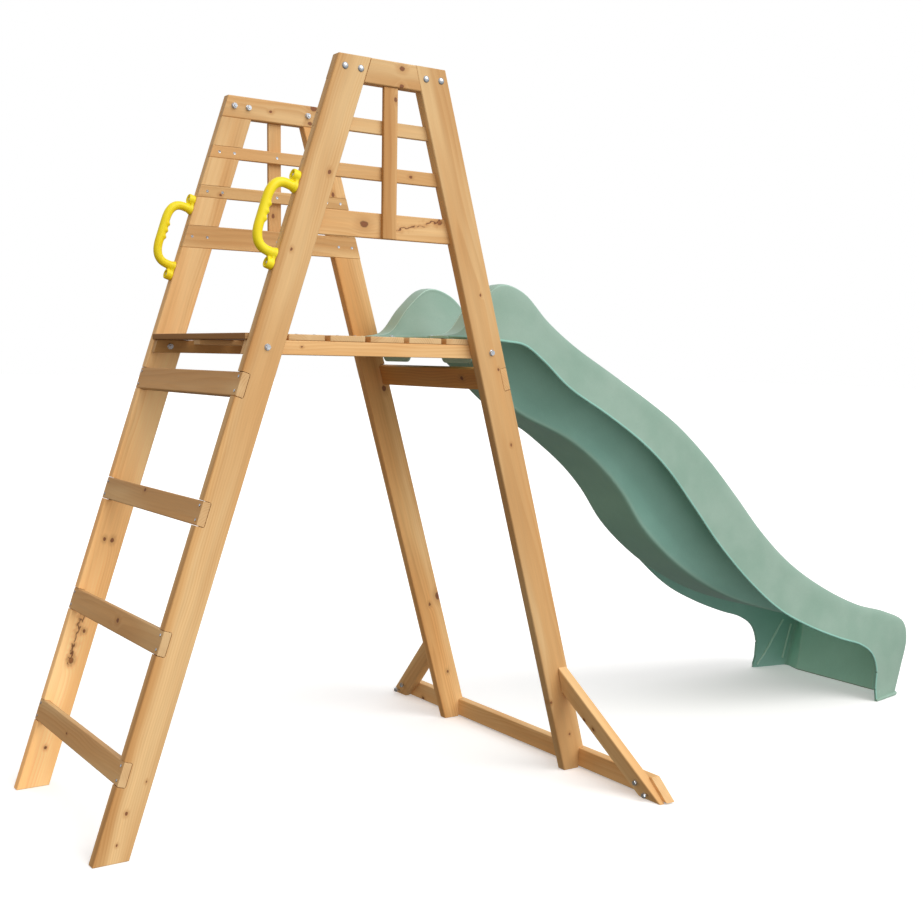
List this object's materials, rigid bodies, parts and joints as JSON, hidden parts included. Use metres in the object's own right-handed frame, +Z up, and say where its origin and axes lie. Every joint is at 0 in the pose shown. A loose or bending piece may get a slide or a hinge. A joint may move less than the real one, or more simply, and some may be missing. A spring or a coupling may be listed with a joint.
{
  "type": "timber climbing frame with slide",
  "caption": "Timber A-frame climbing tower with an inset-rung ladder, a small slatted deck between railed sides, grab handles and a wavy moulded slide.",
  "frame": {"origin": "on the ground, under the middle of the whole object", "axes": "+X from the ladder to the exit of the slide, +Y to the left of someone climbing the ladder, +Z up"},
  "size_m": [3.066, 1.4212, 1.9],
  "materials": {
    "pine": "planed softwood with knots, oiled, satin",
    "slide_plastic": "sage green moulded polyethylene, fine grain",
    "grip_plastic": "yellow moulded plastic",
    "zinc": "bright zinc plating"
  },
  "bodies": {
    "root": {"base_beam": "pine", "deck_batten": "pine", "deck_board_1": "pine", "deck_board_2": "pine", "deck_board_3": "pine", "deck_board_4": "pine", "deck_board_5": "pine", "deck_board_6": "pine", "left_brace": "pine", "left_brace_bolt_1": "zinc", "left_brace_bolt_2": "zinc", "left_centre_slat": "pine", "left_deck_bolt_1": "zinc", "left_deck_bolt_2": "zinc", "left_deck_rail": "pine", "left_guard_board": "pine", "left_guard_slat_1": "pine", "left_guard_slat_2": "pine", "left_handle": "grip_plastic", "left_handle_screw_1": "zinc", "left_handle_screw_2": "zinc", "left_ladder_stile": "pine", "left_rear_leg": "pine", "left_slide_screw": "zinc", "left_top_bolt_1": "zinc", "left_top_bolt_2": "zinc", "left_top_bolt_3": "zinc", "left_top_bolt_4": "zinc", "left_top_crossboard": "pine", "rear_cross_member": "pine", "right_brace": "pine", "right_brace_bolt_1": "zinc", "right_brace_bolt_2": "zinc", "right_centre_slat": "pine", "right_deck_bolt_1": "zinc", "right_deck_bolt_2": "zinc", "right_deck_rail": "pine", "right_guard_board": "pine", "right_guard_slat_1": "pine", "right_guard_slat_2": "pine", "right_handle": "grip_plastic", "right_handle_screw_1": "zinc", "right_handle_screw_2": "zinc", "right_ladder_stile": "pine", "right_rear_leg": "pine", "right_slide_screw": "zinc", "right_top_bolt_1": "zinc", "right_top_bolt_2": "zinc", "right_top_bolt_3": "zinc", "right_top_bolt_4": "zinc", "right_top_crossboard": "pine", "rung_1": "pine", "rung_2": "pine", "rung_3": "pine", "rung_4": "pine", "slide": "slide_plastic"}
  },
  "joints": []
}
